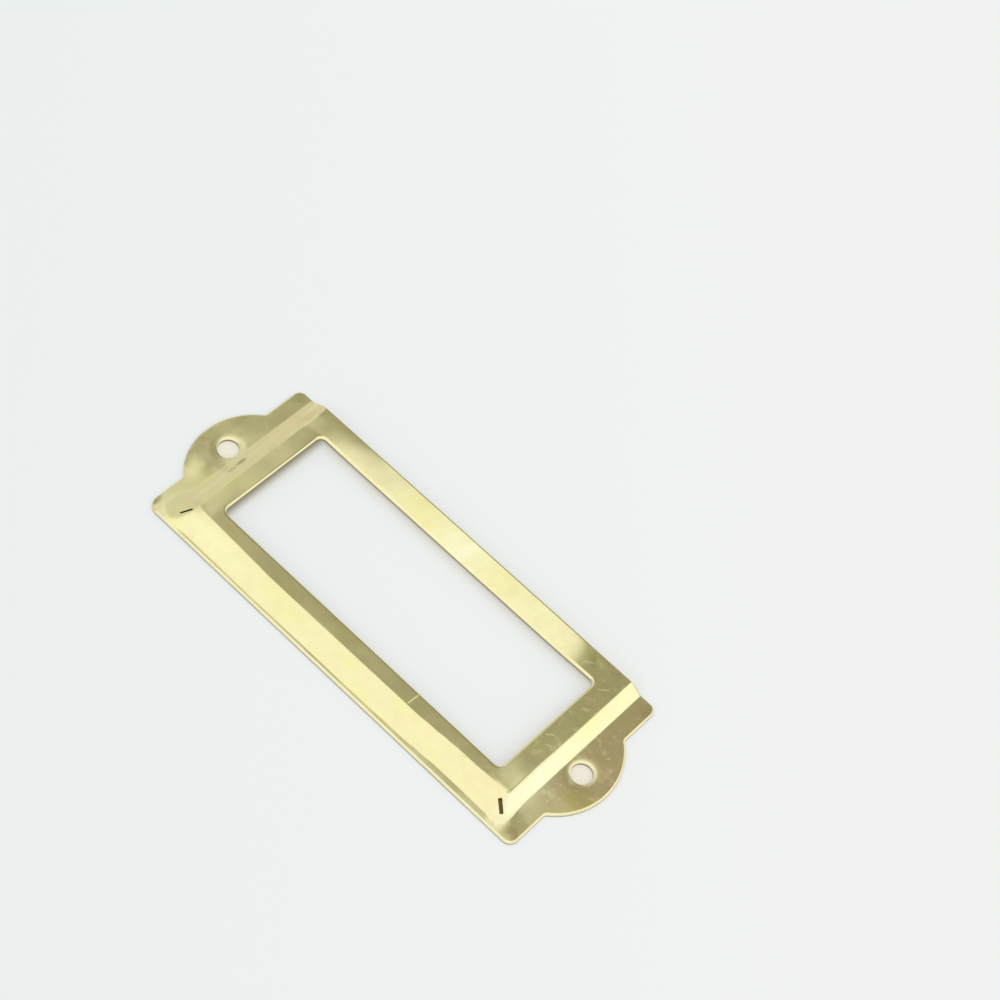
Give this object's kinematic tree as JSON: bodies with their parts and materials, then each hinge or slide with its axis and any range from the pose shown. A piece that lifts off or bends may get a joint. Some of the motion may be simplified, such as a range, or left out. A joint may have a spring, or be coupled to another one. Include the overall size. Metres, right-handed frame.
{
  "type": "drawer label holder",
  "caption": "Thin pressed brass frame with a window and screw ears that holds a label card on a drawer front.",
  "frame": {"origin": "middle of the back of the sheet, on the plane that lies on the drawer", "axes": "+X along the length, +Y across to the open side where the card goes in, +Z out of the drawer"},
  "size_m": [0.082, 0.031, 0.002],
  "materials": {
    "brass": "bright soft-polished pale brass sheet, with fine rub marks and a few small scratches"
  },
  "bodies": {
    "root": {"label_frame": "brass"}
  },
  "joints": []
}
